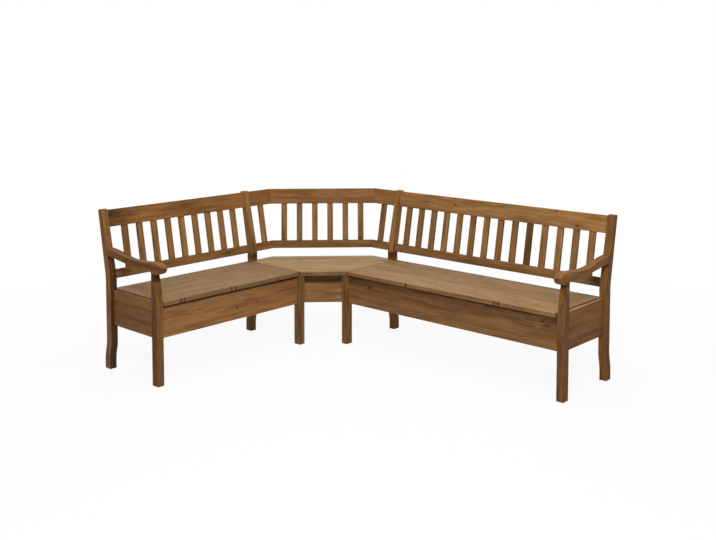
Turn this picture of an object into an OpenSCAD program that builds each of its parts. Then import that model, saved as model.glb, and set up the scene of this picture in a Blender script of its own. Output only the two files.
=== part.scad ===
// Corner storage bench: a short and a long chest bench at a right angle, joined by a corner seat.
// Lengths are in millimetres, +Z is up and the long wing runs along +X.
// The pieces are drawn in a layout frame whose origin is the corner of the room behind the bench, with
// the long wing's straight back faces on Y = 0. Pieces of the short wing are drawn on the long side and
// mirrored at the diagonal. One last shift puts the origin on the floor at the middle of the bench.

/* [Layout] */
// Distance from the room corner to the first posts of each wing
corner_len = 645; // [600:5:720]
// Length of the short wing over its posts
short_len = 1090; // [900:10:1400]
// Length of the long wing over its posts
long_len = 1550; // [1200:10:1900]
// Distance from the room corner to each bend of the corner backrest
corner_cut = 475; // [440:5:500]
// Depth from the front of the posts to their straight back faces
bench_depth = 484; // [440:2:520]

/* [Posts] */
// Width of every post along its wing
post_w = 42; // [38:1:50]
// Depth of every post from front to back
post_d = 50; // [46:1:56]
// Depth of a back post at its top end
post_tip_d = 36; // [34:1:42]
// Height of the back posts
back_height = 903; // [860:1:940]
// Chamfer around the top end of a back post
tip_chamfer = 6; // [2:1:8]
// How far the back feet kick out behind
foot_kick = 18; // [0:1:30]
// Height at which the kick of a back foot is complete
kick_low = 50; // [30:1:70]
// Height at which the kick of a back foot begins
kick_high = 165; // [140:1:190]
// Height at which the back posts begin to lean
lean_start = 525; // [510:1:535]
// Lean of the backrest from the vertical, in degrees
lean_angle = 10; // [8:0.5:11]
// How far a front post is cut back under its armrest
post_sweep = 29; // [10:1:30]
// Height at which that cut begins
sweep_start = 440; // [400:1:480]

/* [Backrest] */
// Distance of the slats in front of the back plane, where the lean begins
rest_setback = 23; // [21:0.5:25]
// Thickness of the backrest rails
rail_t = 24; // [20:1:28]
// Height of the top rail along the slope
top_rail_h = 98; // [80:1:115]
// How far the posts stand above the top rail
post_proud = 6; // [2:1:15]
// Height of the lower rail along the slope
low_rail_h = 51; // [40:1:60]
// Height of the lower rail above the seat
low_rail_rise = 57; // [50:1:75]
// Width of a slat
slat_w = 38; // [34:1:46]
// Thickness of a slat
slat_t = 18; // [14:1:20]
// Distance between the middles of two slats of a wing
slat_pitch = 100; // [85:1:115]
// Distance between the middles of two slats of the corner diagonal
corner_pitch = 101; // [85:1:115]
// Least gap between a post and the first slat
slat_end_gap = 40; // [20:1:50]
// Distance of the slat of a return rail from the middle of that rail, towards the bend
return_slat_shift = 8; // [0:1:12]
// Length of the tenons on the slats
tenon_len = 12; // [8:1:16]
// Thickness of the tenons on the slats
tenon_t = 10; // [7:1:12]

/* [Seat] */
// Height of the seat surface
seat_height = 456; // [440:1:460]
// Thickness of the lids and of the corner seat
seat_t = 26; // [25:1:30]
// Gap between the ends of a lid and what stands beside them
lid_end_gap = 1.5; // [1:0.5:4]
// Gap between a closed lid and the apron under it
lid_rest_gap = 0.3; // [0.2:0.1:0.5]
// Distance of the back edge of the seat in front of the back plane
seat_setback = 12; // [8:1:16]
// Width of the fixed strip that carries the hinges
strip_w = 39; // [37:1:48]
// Width of a batten under a lid
batten_w = 45; // [30:1:60]
// Thickness of a batten under a lid
batten_t = 20; // [16:1:24]
// Distance of the batten ends from the front and back edges of a lid
batten_inset = 56; // [54:1:90]
// Number of battens under the short lid
short_battens = 2; // [2:1:3]
// Number of battens under the long lid
long_battens = 3; // [2:1:4]

/* [Chest] */
// Thickness of the chest boards
board_t = 20; // [16:1:20]
// Distance of the chest boards behind the faces of the posts
board_recess = 18; // [12:1:19]
// Height of the lower edge of the chest boards
board_bottom = 254; // [220:1:280]
// Thickness of the chest floor
floor_t = 9; // [6:1:12]
// Width and height of the cleats under the floor and the corner seat
cleat = 20; // [16:1:24]
// Distance from the lower edge of the boards up to the floor cleats
cleat_rise = 6; // [2:1:20]
// Play around the chest floor
floor_play = 2; // [1:0.5:4]

/* [Corner] */
// How far the front of the corner apron stands behind the front of the posts, along each wing
apron_setback = 20; // [16:1:21]
// Distance from the corner seat down to the corner apron
apron_drop = 45; // [30:1:50]
// Height of the front bearer of the corner seat, which also backs its apron
front_bearer_h = 60; // [55:1:80]
// Height of the rear bearer of the corner seat
rear_bearer_h = 45; // [30:1:60]
// Distance of the rear bearer in front of the inner back posts
rear_bearer_gap = 10; // [4:1:30]

/* [Armrests] */
// Height of the armrest top at the back post
arm_back_z = 689; // [682:1:700]
// Height of the armrest top in its hollow
arm_dip_z = 656; // [654:1:662]
// Height of the armrest top at its crest
arm_crest_z = 668; // [664:1:676]
// Height of the top of the outer front posts, under the armrest
arm_seat_z = 600; // [590:1:602]
// Thickness of the armrest between the posts
arm_t = 39; // [34:1:42]
// Distance from the front of the posts back to the hollow of the armrest
arm_dip_back = 199; // [180:1:220]
// Distance from the front of the posts back to the crest of the armrest
arm_crest_back = 14; // [8:1:20]
// How far the nose of the armrest stands in front of the front post
arm_nose = 41; // [36:1:50]
// Length of the underside of the nose
arm_chin = 32; // [28:1:36]

/* [Hinges] */
// Length of a hinge leaf
leaf_len = 63; // [50:1:80]
// Height of a hinge leaf below the pin
leaf_h = 20; // [17:0.5:23]
// Thickness of a hinge leaf
leaf_t = 1.5; // [1.4:0.1:1.8]
// Depth of the leaf recess in the wood
leaf_sink = 1; // [0.9:0.05:1.1]
// Radius of the hinge knuckles
knuckle_r = 3.2; // [2.8:0.1:3.8]
// Radius of the hinge pins
pin_r = 1.5; // [1:0.1:1.8]
// Play of a pin in the knuckles of the lid leaf, on the radius
pin_play = 0.05; // [0.02:0.01:0.08]
// Gap between a lid and its hinge strip
hinge_gap = 2; // [1.8:0.1:2.4]
// Height of the pins above the seat surface
pin_rise = 0.5; // [0.3:0.1:1.2]
// Distance from the end of a lid to the middle of its outer hinges
hinge_inset = 160; // [100:5:200]
// Number of hinges on the short lid
short_hinges = 2; // [2:1:3]
// Number of hinges on the long lid
long_hinges = 3; // [2:1:4]

/* [Fixings] */
// Radius of the dowels
dowel_r = 5; // [4:0.5:5.5]
// Length of a dowel
dowel_len = 36; // [30:1:36]
// Radius of the small dowels at the corner apron and the mitres
small_dowel_r = 3; // [2.5:0.5:3.5]
// Length of a small dowel
small_dowel_len = 24; // [20:1:26]
// Radius of a screw shank
screw_r = 1.6; // [1.2:0.1:2]
// Radius of a screw head
screw_head_r = 3; // [2.6:0.1:3.6]
// Depth of a countersunk screw head
screw_head_h = 1.4; // [1:0.1:1.4]
// Length of a hinge screw
hinge_screw_len = 18; // [14:1:22]
// Length of a screw through a batten or cleat
wood_screw_len = 32; // [29:1:36]
// Play of dowels, screws and tenons in their holes
fit_play = 0.1; // [0.05:0.05:0.2]

/* [Hidden] */
$fn = 48;

post_wood = "#8f6134";
rest_wood = "#a2713e";
chest_wood = "#85582f";
seat_wood = "#bf9d70";
plywood = "#c9ae85";
brass_plate = "#b59a5c";

// Ends of the wings, and heights of the seat and the chest
end_short = corner_len + short_len;
end_long = corner_len + long_len;
seat_under = seat_height - seat_t;
apron_top = seat_under - lid_rest_gap;
floor_z = board_bottom + cleat_rise + cleat;
chest_front = bench_depth - board_recess - board_t;
chest_back = seat_setback + board_t;

// Places along the backrest slope, measured from the height where the lean begins
low_rail_s = (seat_height + low_rail_rise - lean_start) / cos(lean_angle);
top_rail_s = (back_height - post_proud - lean_start) / cos(lean_angle) - top_rail_h;

// Lid, hinge strip and hinge pin, as distances in front of the back plane
strip_front = seat_setback + strip_w;
lid_back = strip_front + hinge_gap;
pin_v = strip_front + hinge_gap / 2;
pin_z = seat_height + pin_rise;

// Side outline of a back post: a kicked foot, a straight middle and a leaning upper part
bend_half = 25;
kick_steps = 8;
bend_steps = 4;

function lean_y(z) =
    z <= lean_start - bend_half ? 0 :
    z >= lean_start + bend_half ? tan(lean_angle) * (z - lean_start) :
    tan(lean_angle) * pow(z - lean_start + bend_half, 2) / (4 * bend_half);
function kick_y(z) =
    z <= kick_low ? foot_kick :
    z >= kick_high ? 0 :
    foot_kick * (1 + cos(180 * (z - kick_low) / (kick_high - kick_low))) / 2;
function back_y(z) = lean_y(z) + kick_y(z);
function depth_at(z) =
    post_d - (post_d - post_tip_d) * max(0, z - lean_start) / (back_height - lean_start);
function post_front_v(z) = depth_at(z) - lean_y(z);
function steps(a, b, n) = [for (i = [0 : n]) a + (b - a) * i / n];

tip_z = back_height - tip_chamfer;
post_levels = concat([0], steps(kick_low, kick_high, kick_steps),
    steps(lean_start - bend_half, lean_start + bend_half, bend_steps), [tip_z]);

// The shift that centres the bench over its footprint
reach = back_y(tip_z);
centre_shift = [(reach - end_long) / 2, (end_short - reach) / 2, 0];

module back_post_outline() {
    last = len(post_levels) - 1;
    back_edge = [for (z = post_levels) [back_y(z), z]];
    front_edge = [for (i = [last : -1 : 0]) let (z = post_levels[i]) [back_y(z) - depth_at(z), z]];
    tip = [[reach - tip_chamfer, back_height], [reach - depth_at(tip_z) + tip_chamfer, back_height]];
    polygon(concat(back_edge, tip, front_edge));
}

// ---- Placing ----

// Extrudes an outline of the Y-Z plane along X
module along_x(x0, x1) {
    translate([x0, 0, 0]) rotate([90, 0, 90]) linear_extrude(height = x1 - x0) children();
}

// A bar along X between two distances v0 and v1 in front of the back plane
module bar(x0, x1, v0, v1, z0, z1) {
    translate([x0, -v1, z0]) cube([x1 - x0, v1 - v0, z1 - z0]);
}

// Mirrors a piece drawn on the long side to the short side
module short_side() {
    mirror([1, 1, 0]) children();
}

// Stands children on the sloping backrest plane: Y is the thickness and Z runs up the slope
module on_slope() {
    translate([0, -rest_setback, lean_start]) rotate([-lean_angle, 0, 0]) children();
}

// The diagonal of the corner backrest, with its middle at X = 0
module on_diagonal() {
    translate([corner_cut / 2, -corner_cut / 2, 0]) rotate([0, 0, 45]) children();
}

// The upright mitre plane at the bend beside the long wing: X is square to it
module on_mitre() {
    translate([corner_cut, 0, 0]) rotate([0, 0, 22.5]) children();
}

// ---- Dowels: drawn with no play as dowels and with some play as their holes ----

module dowel_x(x, v, z, play) {
    translate([x - dowel_len / 2 - play, -v, z]) rotate([0, 90, 0])
        cylinder(r = dowel_r + play, h = dowel_len + 2 * play);
}

module dowel_y(x, v, z, play) {
    translate([x, dowel_len / 2 + play - v, z]) rotate([90, 0, 0])
        cylinder(r = dowel_r + play, h = dowel_len + 2 * play);
}

module rail_dowels(x, play) {
    for (s = [top_rail_s + top_rail_h / 4, top_rail_s + top_rail_h * 3 / 4, low_rail_s + low_rail_h / 2])
        on_slope() dowel_x(x, 0, s, play);
}

// The dowels of the aprons and the end panels share the posts, so they sit at different heights
function board_z(part) = board_bottom + (seat_under - board_bottom) * part;
long_board_dowels = [board_z(0.4), board_z(0.8)];
end_panel_dowels = [board_z(0.2), board_z(0.6)];

module board_dowels(x, play) {
    for (z = long_board_dowels, v = [chest_front + board_t / 2, chest_back - board_t / 2])
        dowel_x(x, v, z, play);
}

module end_dowels(x, play) {
    for (z = end_panel_dowels, v = [post_d, bench_depth - post_d])
        dowel_y(x, v, z, play);
}

post_top_front = bench_depth - post_sweep;
post_rear = bench_depth - post_d;

module arm_dowels(x, play) {
    z = arm_back_z - arm_t / 2;
    dowel_y(x, post_front_v(z), z, play);
    translate([x, -(post_top_front + post_rear) / 2, arm_seat_z - dowel_len / 2 - play])
        cylinder(r = dowel_r + play, h = dowel_len + 2 * play);
}

panel_line = board_recess + board_t / 2;

module outer_dowels(end, play) {
    rail_dowels(end - post_w, play);
    board_dowels(end - post_w, play);
    end_dowels(end - panel_line, play);
    arm_dowels(end - post_w / 2, play);
}

module inner_dowels(play) {
    rail_dowels(corner_len, play);
    rail_dowels(corner_len + post_w, play);
    board_dowels(corner_len + post_w, play);
    end_dowels(corner_len + panel_line, play);
}

// Small dowels from the corner apron into the inner front post
apron_line = corner_len + bench_depth - apron_setback;
board_diag = board_t * sqrt(2);
small_dowel_v = apron_line - board_diag / 2 - corner_len + small_dowel_len / 4;

module apron_end_dowels(play) {
    for (z = end_panel_dowels)
        translate([corner_len - small_dowel_len / 2 - play, -small_dowel_v, z - small_dowel_len])
            rotate([0, 90, 0]) cylinder(r = small_dowel_r + play, h = small_dowel_len + 2 * play);
}

// Small dowels across the mitres of the corner rails
module mitre_dowels(play) {
    for (s = [top_rail_s + top_rail_h / 4, top_rail_s + top_rail_h * 3 / 4, low_rail_s + low_rail_h / 2])
        on_mitre() translate([-small_dowel_len / 2 - play,
            (s * sin(lean_angle) - rest_setback) / cos(22.5), lean_start + s * cos(lean_angle)])
            rotate([0, 90, 0]) cylinder(r = small_dowel_r + play, h = small_dowel_len + 2 * play);
}

module frame_dowels() {
    color(rest_wood) {
        outer_dowels(end_long, 0);
        inner_dowels(0);
        apron_end_dowels(0);
        mitre_dowels(0);
        short_side() {
            outer_dowels(end_short, 0);
            inner_dowels(0);
            apron_end_dowels(0);
            mitre_dowels(0);
        }
    }
}

// ---- Posts ----

module outer_back_post(end) {
    color(post_wood) difference() {
        along_x(end - post_w, end) back_post_outline();
        outer_dowels(end, fit_play);
    }
}

module inner_back_post() {
    color(post_wood) difference() {
        along_x(corner_len, corner_len + post_w) back_post_outline();
        inner_dowels(fit_play);
    }
}

// The outer front post narrows in a curve from the seat up to the armrest
sweep_steps = 12;
sweep_power = 1.4;

module outer_front_post(end) {
    rise = arm_seat_z - sweep_start;
    front_edge = [for (z = steps(sweep_start, arm_seat_z, sweep_steps))
        [post_sweep * pow((z - sweep_start) / rise, sweep_power) - bench_depth, z]];
    color(post_wood) difference() {
        along_x(end - post_w, end)
            polygon(concat([[-bench_depth, 0]], front_edge, [[-post_rear, arm_seat_z], [-post_rear, 0]]));
        outer_dowels(end, fit_play);
    }
}

module inner_front_post() {
    color(post_wood) difference() {
        bar(corner_len, corner_len + post_w, post_rear, bench_depth, 0, seat_under);
        inner_dowels(fit_play);
        apron_end_dowels(fit_play);
    }
}

// ---- Backrests ----

tenon_side = 4;
slat_low = low_rail_s + low_rail_h;

// The tenons of a slat as one bar, or with play as the mortises for them
module slat_tenons(play) {
    w = slat_w - 2 * tenon_side + 2 * play;
    t = tenon_t + 2 * play;
    translate([-w / 2, -t / 2, slat_low - tenon_len - play])
        cube([w, t, top_rail_s - slat_low + 2 * tenon_len + 2 * play]);
}

module slat() {
    translate([-slat_w / 2, -slat_t / 2, slat_low]) cube([slat_w, slat_t, top_rail_s - slat_low]);
    slat_tenons(0);
}

// As many slats as fit at a pitch, centred between two places
module spread_slats(x0, x1, pitch) {
    n = floor((x1 - x0 - slat_w - 2 * slat_end_gap) / pitch) + 1;
    for (i = [0 : n - 1])
        on_slope() translate([(x0 + x1) / 2 + (i - (n - 1) / 2) * pitch, 0, 0]) children();
}

module wing_slats_at(end) {
    spread_slats(corner_len + post_w, end - post_w, slat_pitch) children();
}

corner_half = corner_cut / sqrt(2);
module corner_slats_at() {
    on_diagonal() spread_slats(-corner_half, corner_half, corner_pitch) children();
}

module return_slat_at() {
    on_slope() translate([(corner_cut + corner_len) / 2 - return_slat_shift, 0, 0]) children();
}

module rail_bar(x0, x1, s, h) {
    on_slope() translate([x0, -rail_t / 2, s]) cube([x1 - x0, rail_t, h]);
}

module wing_rail(end, s, h) {
    color(rest_wood) difference() {
        rail_bar(corner_len + post_w, end - post_w, s, h);
        wing_slats_at(end) slat_tenons(fit_play);
        rail_dowels(end - post_w, fit_play);
        rail_dowels(corner_len + post_w, fit_play);
    }
}

module wing_slats(end) {
    color(rest_wood) wing_slats_at(end) slat();
}

// Everything on one side of the mitre plane: side 1 is the side of the long wing, -1 the diagonal
module beyond_mitre(side) {
    span = corner_len + bench_depth;
    on_mitre() translate([side > 0 ? 0 : -span, -span, 0]) cube([span, 2 * span, back_height]);
}

module return_rail(s, h) {
    color(rest_wood) difference() {
        intersection() {
            rail_bar(0, corner_len, s, h);
            beyond_mitre(1);
        }
        return_slat_at() slat_tenons(fit_play);
        rail_dowels(corner_len, fit_play);
        mitre_dowels(fit_play);
    }
}

module diagonal_rail(s, h) {
    color(rest_wood) difference() {
        intersection() {
            on_diagonal() rail_bar(-corner_cut, corner_cut, s, h);
            beyond_mitre(-1);
            short_side() beyond_mitre(-1);
        }
        corner_slats_at() slat_tenons(fit_play);
        mitre_dowels(fit_play);
        short_side() mitre_dowels(fit_play);
    }
}

module diagonal_slats() {
    color(rest_wood) corner_slats_at() slat();
}

module return_slats() {
    color(rest_wood) {
        return_slat_at() slat();
        short_side() return_slat_at() slat();
    }
}

// ---- Chests ----

module front_apron(end) {
    color(chest_wood) difference() {
        bar(corner_len + post_w, end - post_w, chest_front, chest_front + board_t, board_bottom, apron_top);
        board_dowels(corner_len + post_w, fit_play);
        board_dowels(end - post_w, fit_play);
    }
}

module rear_board(end) {
    color(chest_wood) difference() {
        bar(corner_len + post_w, end - post_w, seat_setback, chest_back, board_bottom, seat_under);
        board_dowels(corner_len + post_w, fit_play);
        board_dowels(end - post_w, fit_play);
    }
}

// The outer end panel closes the end of the lid, so it reaches up to the seat surface
module outer_end_panel(end) {
    x1 = end - board_recess;
    color(chest_wood) difference() {
        bar(x1 - board_t, x1, post_d, post_rear, board_bottom, seat_height);
        end_dowels(end - panel_line, fit_play);
    }
}

module inner_end_panel() {
    x0 = corner_len + board_recess;
    color(chest_wood) difference() {
        bar(x0, x0 + board_t, post_d, post_rear, board_bottom, seat_under);
        end_dowels(corner_len + panel_line, fit_play);
    }
}

module floor_cleats(end) {
    z0 = board_bottom + cleat_rise;
    color(rest_wood) for (v = [chest_back, chest_front - cleat])
        bar(corner_len + post_w, end - post_w, v, v + cleat, z0, floor_z);
}

module floor_panel(end) {
    color(plywood) bar(corner_len + post_w + floor_play, end - post_w - floor_play,
        chest_back + floor_play, chest_front - floor_play, floor_z, floor_z + floor_t);
}

// ---- Lids and hinges ----

function spread(a, b, n) = [for (i = [0 : n - 1]) a + (b - a) * i / (n - 1)];
function lid_to(end) = end - post_w - lid_end_gap;
lid_from = corner_len + post_w + lid_end_gap;
function hinge_x(end, n) = spread(lid_from + hinge_inset, lid_to(end) - hinge_inset, n);
function batten_x(end, n) = [for (i = [0 : n - 1]) lid_from + (lid_to(end) - lid_from) * (i + 0.5) / n];

// Knuckles of a hinge, the gap between them and the play around the barrel in the wood
knuckles = 5;
knuckle_gap = 0.2;
barrel_play = 0.3;
fixed_play = 0.01;
knuckle_pitch = leaf_len / knuckles;
leaf_out = hinge_gap / 2 + leaf_sink;
plate_top = -knuckle_r - barrel_play;

module at_pin() {
    translate([0, -pin_v, pin_z]) children();
}

// Room for the barrel and one leaf, in the edge of the lid (side -1) or of the strip (side 1)
module leaf_recess(end, n, side) {
    length = leaf_len + 2 * barrel_play;
    for (x = hinge_x(end, n)) at_pin() translate([x - length / 2, 0, 0]) {
        rotate([0, 90, 0]) cylinder(r = knuckle_r + barrel_play, h = length);
        translate([0, side > 0 ? 0 : -leaf_out, -leaf_h - barrel_play])
            cube([length, leaf_out, leaf_h + barrel_play]);
    }
}

// A countersunk screw with its head at the origin and its shank along +Y
module screw(length, play) {
    rotate([-90, 0, 0]) {
        cylinder(r1 = screw_head_r + play, r2 = screw_r + play, h = screw_head_h);
        cylinder(r = screw_r + play, h = length + play);
    }
}

module screw_up(length, play) {
    rotate([90, 0, 0]) screw(length, play);
}

module leaf_screws(end, n, side, play) {
    for (x = hinge_x(end, n), third = [-1, 0, 1])
        at_pin() translate([x + third * leaf_len / 3, side * (leaf_out - leaf_t), (plate_top - leaf_h) / 2])
            rotate([0, 0, side > 0 ? 0 : 180]) screw(hinge_screw_len, play);
}

// One leaf of each hinge, with its knuckles: the strip has the first, third and fifth, the lid the others
module leaves(end, n, side) {
    plate_y = side > 0 ? leaf_out - leaf_t : -leaf_out;
    bore_r = pin_r + (side > 0 ? fixed_play : pin_play);
    color(brass_plate) difference() {
        for (x = hinge_x(end, n)) at_pin() translate([x - leaf_len / 2, 0, 0]) difference() {
            union() {
                translate([0, plate_y, -leaf_h]) cube([leaf_len, leaf_t, leaf_h + plate_top]);
                for (k = [side > 0 ? 0 : 1 : 2 : knuckles - 1])
                    translate([k * knuckle_pitch + knuckle_gap / 2, 0, 0]) {
                        rotate([0, 90, 0]) cylinder(r = knuckle_r, h = knuckle_pitch - knuckle_gap);
                        translate([0, plate_y, plate_top])
                            cube([knuckle_pitch - knuckle_gap, leaf_t, -plate_top]);
                    }
            }
            translate([-leaf_len / 2, 0, 0]) rotate([0, 90, 0]) cylinder(r = bore_r, h = 2 * leaf_len);
        }
        leaf_screws(end, n, side, fit_play);
    }
}

module hinge_pins(end, n) {
    color(brass_plate) for (x = hinge_x(end, n))
        at_pin() translate([x - leaf_len / 2, 0, 0]) rotate([0, 90, 0]) cylinder(r = pin_r, h = leaf_len);
}

module hinge_strip(end, n) {
    color(seat_wood) difference() {
        bar(corner_len + post_w, end - post_w, seat_setback, strip_front, seat_under, seat_height);
        leaf_recess(end, n, 1);
        leaf_screws(end, n, 1, fit_play);
    }
}

batten_from = lid_back + batten_inset;
batten_to = bench_depth - batten_inset;
screws_per_batten = 3;

module batten_screws(end, b, play) {
    rows = spread(batten_from + batten_w / 2, batten_to - batten_w / 2, screws_per_batten);
    for (x = batten_x(end, b), v = rows)
        translate([x, -v, seat_under - batten_t]) screw_up(wood_screw_len, play);
}

module lid(end, n, b) {
    color(seat_wood) difference() {
        bar(lid_from, lid_to(end), lid_back, bench_depth, seat_under, seat_height);
        leaf_recess(end, n, -1);
        leaf_screws(end, n, -1, fit_play);
        batten_screws(end, b, fit_play);
    }
}

module lid_battens(end, b) {
    color(rest_wood) difference() {
        for (x = batten_x(end, b))
            bar(x - batten_w / 2, x + batten_w / 2, batten_from, batten_to, seat_under - batten_t, seat_under);
        batten_screws(end, b, fit_play);
    }
}

module strip_screws(end, n) {
    color(brass_plate) leaf_screws(end, n, 1, 0);
}

module lid_screws(end, n, b) {
    color(brass_plate) {
        leaf_screws(end, n, -1, 0);
        batten_screws(end, b, 0);
    }
}

// ---- Armrests ----

curve_steps = 10;
function bezier(p) = [for (i = [1 : curve_steps]) let (t = i / curve_steps, u = 1 - t)
    u * u * u * p[0] + 3 * u * u * t * p[1] + 3 * u * t * t * p[2] + t * t * t * p[3]];

// Side outline of the armrest. Its points are [distance in front of the back plane, height], and the
// handles of each curve are shares of its run along the armrest and of its rise.
nose_lift = 10;
heel_drop = 6;
belly_run = 30;

module armrest_outline() {
    low_z = arm_back_z - arm_t;
    under_z = arm_dip_z - arm_t;
    top_back = [post_front_v(arm_back_z), arm_back_z];
    low_back = [post_front_v(low_z), low_z];
    dip = [bench_depth - arm_dip_back, arm_dip_z];
    crest = [bench_depth - arm_crest_back, arm_crest_z];
    nose = [bench_depth + arm_nose, (arm_crest_z + arm_seat_z + nose_lift) / 2];
    chin = [nose[0] - arm_chin, arm_seat_z + nose_lift];
    throat = [post_top_front, arm_seat_z];
    heel = [post_rear, under_z - heel_drop];
    belly = [post_rear - belly_run, under_z];
    hollow = [dip[0] - top_back[0], 0];
    rise = [crest[0] - dip[0], 0];
    nose_run = [nose[0] - crest[0], 0];
    nose_half = [0, crest[1] - nose[1]];
    throat_run = [chin[0] - throat[0], 0];
    under = [belly[0] - low_back[0], 0];
    outline = concat([top_back],
        bezier([top_back, top_back + hollow / 3, dip - hollow * 0.37, dip]),
        bezier([dip, dip + rise / 3, crest - rise / 3, crest]),
        bezier([crest, crest + nose_run * 0.6, nose + nose_half * 0.55, nose]),
        bezier([nose, nose - nose_half * 0.7, chin + [arm_chin / 2, 0], chin]),
        bezier([chin, chin - throat_run * 0.4, throat + throat_run * 0.4, throat]),
        [[post_rear, arm_seat_z], heel],
        bezier([heel, heel + [0, heel_drop], belly + [belly_run * 0.7, 0], belly]),
        bezier([belly, belly - under * 0.38, low_back + under * 0.28 - nose_half * 0.5, low_back]));
    polygon([for (p = outline) [-p[0], p[1]]]);
}

module armrest(end) {
    color(rest_wood) difference() {
        along_x(end - post_w, end) armrest_outline();
        arm_dowels(end - post_w / 2, fit_play);
    }
}

// ---- Corner ----

// The corner seat covers the inner front posts and is notched round the inner back posts
module corner_seat() {
    far = corner_len + post_w;
    bend = corner_cut + seat_setback * tan(22.5);
    notch = post_d + fit_play;
    side = corner_len - fit_play;
    color(seat_wood) difference() {
        translate([0, 0, seat_under]) linear_extrude(height = seat_t)
            polygon([[notch, -far], [bench_depth, -far], [far, -bench_depth], [far, -notch],
                [side, -notch], [side, -seat_setback], [bend, -seat_setback],
                [seat_setback, -bend], [seat_setback, -side], [notch, -side]]);
        corner_screws(fit_play);
        short_side() corner_screws(fit_play);
    }
}

// Cleats on the inner end panels carry the ends of the corner seat and of its bearers
cleat_face = corner_len + board_recess - cleat;

module seat_cleat() {
    difference() {
        bar(cleat_face, cleat_face + cleat, post_d, post_rear, seat_under - cleat, seat_under);
        corner_screws(fit_play);
    }
}

module corner_screws(play) {
    for (v = spread(post_d + 2 * cleat, post_rear - 2 * cleat, screws_per_batten))
        translate([cleat_face + cleat / 2, -v, seat_under - cleat]) screw_up(wood_screw_len, play);
}

module corner_seat_cleats() {
    color(rest_wood) {
        seat_cleat();
        short_side() seat_cleat();
    }
}

module corner_seat_screws() {
    color(brass_plate) {
        corner_screws(0);
        short_side() corner_screws(0);
    }
}

// A diagonal board with its front face on X - Y = line, cut off at X = limit and Y = -limit
module diagonal_board(line, limit, z0, z1) {
    back = line - board_diag;
    translate([0, 0, z0]) linear_extrude(height = z1 - z0)
        polygon([[limit, limit - line], [limit, limit - back], [back - limit, -limit], [line - limit, -limit]]);
}

module corner_front_bearer() {
    line = apron_line - board_diag;
    color(chest_wood) diagonal_board(line, cleat_face, seat_under - front_bearer_h, seat_under);
}

module corner_rear_bearer() {
    line = cleat_face + post_d + rear_bearer_gap + board_diag;
    color(chest_wood) diagonal_board(line, cleat_face, seat_under - rear_bearer_h, seat_under);
}

// The apron of the corner stands between the two inner front posts
module corner_front_apron() {
    color(chest_wood) difference() {
        diagonal_board(apron_line, corner_len, board_bottom, seat_under - apron_drop);
        apron_end_dowels(fit_play);
        short_side() apron_end_dowels(fit_play);
    }
}

// ---- Assembly ----

module short_wing() {
    translate(centre_shift) short_side() children();
}

module long_wing() {
    translate(centre_shift) children();
}

short_wing() outer_back_post(end_short);  // short_outer_back_post
short_wing() inner_back_post();  // short_inner_back_post
short_wing() outer_front_post(end_short);  // short_outer_front_post
short_wing() inner_front_post();  // short_inner_front_post
short_wing() wing_rail(end_short, top_rail_s, top_rail_h);  // short_top_rail
short_wing() wing_rail(end_short, low_rail_s, low_rail_h);  // short_lower_rail
short_wing() wing_slats(end_short);  // short_back_slats
short_wing() armrest(end_short);  // short_armrest
short_wing() front_apron(end_short);  // short_front_apron
short_wing() rear_board(end_short);  // short_rear_board
short_wing() outer_end_panel(end_short);  // short_outer_end_panel
short_wing() inner_end_panel();  // short_inner_end_panel
short_wing() floor_cleats(end_short);  // short_floor_cleats
short_wing() floor_panel(end_short);  // short_floor_panel
short_wing() hinge_strip(end_short, short_hinges);  // short_hinge_strip
short_wing() lid(end_short, short_hinges, short_battens);  // short_lid
short_wing() lid_battens(end_short, short_battens);  // short_lid_battens
short_wing() leaves(end_short, short_hinges, 1);  // short_strip_leaves
short_wing() leaves(end_short, short_hinges, -1);  // short_lid_leaves
short_wing() hinge_pins(end_short, short_hinges);  // short_hinge_pins
short_wing() strip_screws(end_short, short_hinges);  // short_strip_screws
short_wing() lid_screws(end_short, short_hinges, short_battens);  // short_lid_screws

long_wing() outer_back_post(end_long);  // long_outer_back_post
long_wing() inner_back_post();  // long_inner_back_post
long_wing() outer_front_post(end_long);  // long_outer_front_post
long_wing() inner_front_post();  // long_inner_front_post
long_wing() wing_rail(end_long, top_rail_s, top_rail_h);  // long_top_rail
long_wing() wing_rail(end_long, low_rail_s, low_rail_h);  // long_lower_rail
long_wing() wing_slats(end_long);  // long_back_slats
long_wing() armrest(end_long);  // long_armrest
long_wing() front_apron(end_long);  // long_front_apron
long_wing() rear_board(end_long);  // long_rear_board
long_wing() outer_end_panel(end_long);  // long_outer_end_panel
long_wing() inner_end_panel();  // long_inner_end_panel
long_wing() floor_cleats(end_long);  // long_floor_cleats
long_wing() floor_panel(end_long);  // long_floor_panel
long_wing() hinge_strip(end_long, long_hinges);  // long_hinge_strip
long_wing() lid(end_long, long_hinges, long_battens);  // long_lid
long_wing() lid_battens(end_long, long_battens);  // long_lid_battens
long_wing() leaves(end_long, long_hinges, 1);  // long_strip_leaves
long_wing() leaves(end_long, long_hinges, -1);  // long_lid_leaves
long_wing() hinge_pins(end_long, long_hinges);  // long_hinge_pins
long_wing() strip_screws(end_long, long_hinges);  // long_strip_screws
long_wing() lid_screws(end_long, long_hinges, long_battens);  // long_lid_screws

long_wing() corner_seat();
long_wing() corner_seat_cleats();
long_wing() corner_front_bearer();
long_wing() corner_rear_bearer();
long_wing() corner_front_apron();
long_wing() diagonal_rail(top_rail_s, top_rail_h);  // diagonal_top_rail
short_wing() return_rail(top_rail_s, top_rail_h);  // short_return_top_rail
long_wing() return_rail(top_rail_s, top_rail_h);  // long_return_top_rail
long_wing() diagonal_rail(low_rail_s, low_rail_h);  // diagonal_lower_rail
short_wing() return_rail(low_rail_s, low_rail_h);  // short_return_lower_rail
long_wing() return_rail(low_rail_s, low_rail_h);  // long_return_lower_rail
long_wing() diagonal_slats();
long_wing() return_slats();
long_wing() frame_dowels();
long_wing() corner_seat_screws();
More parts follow.
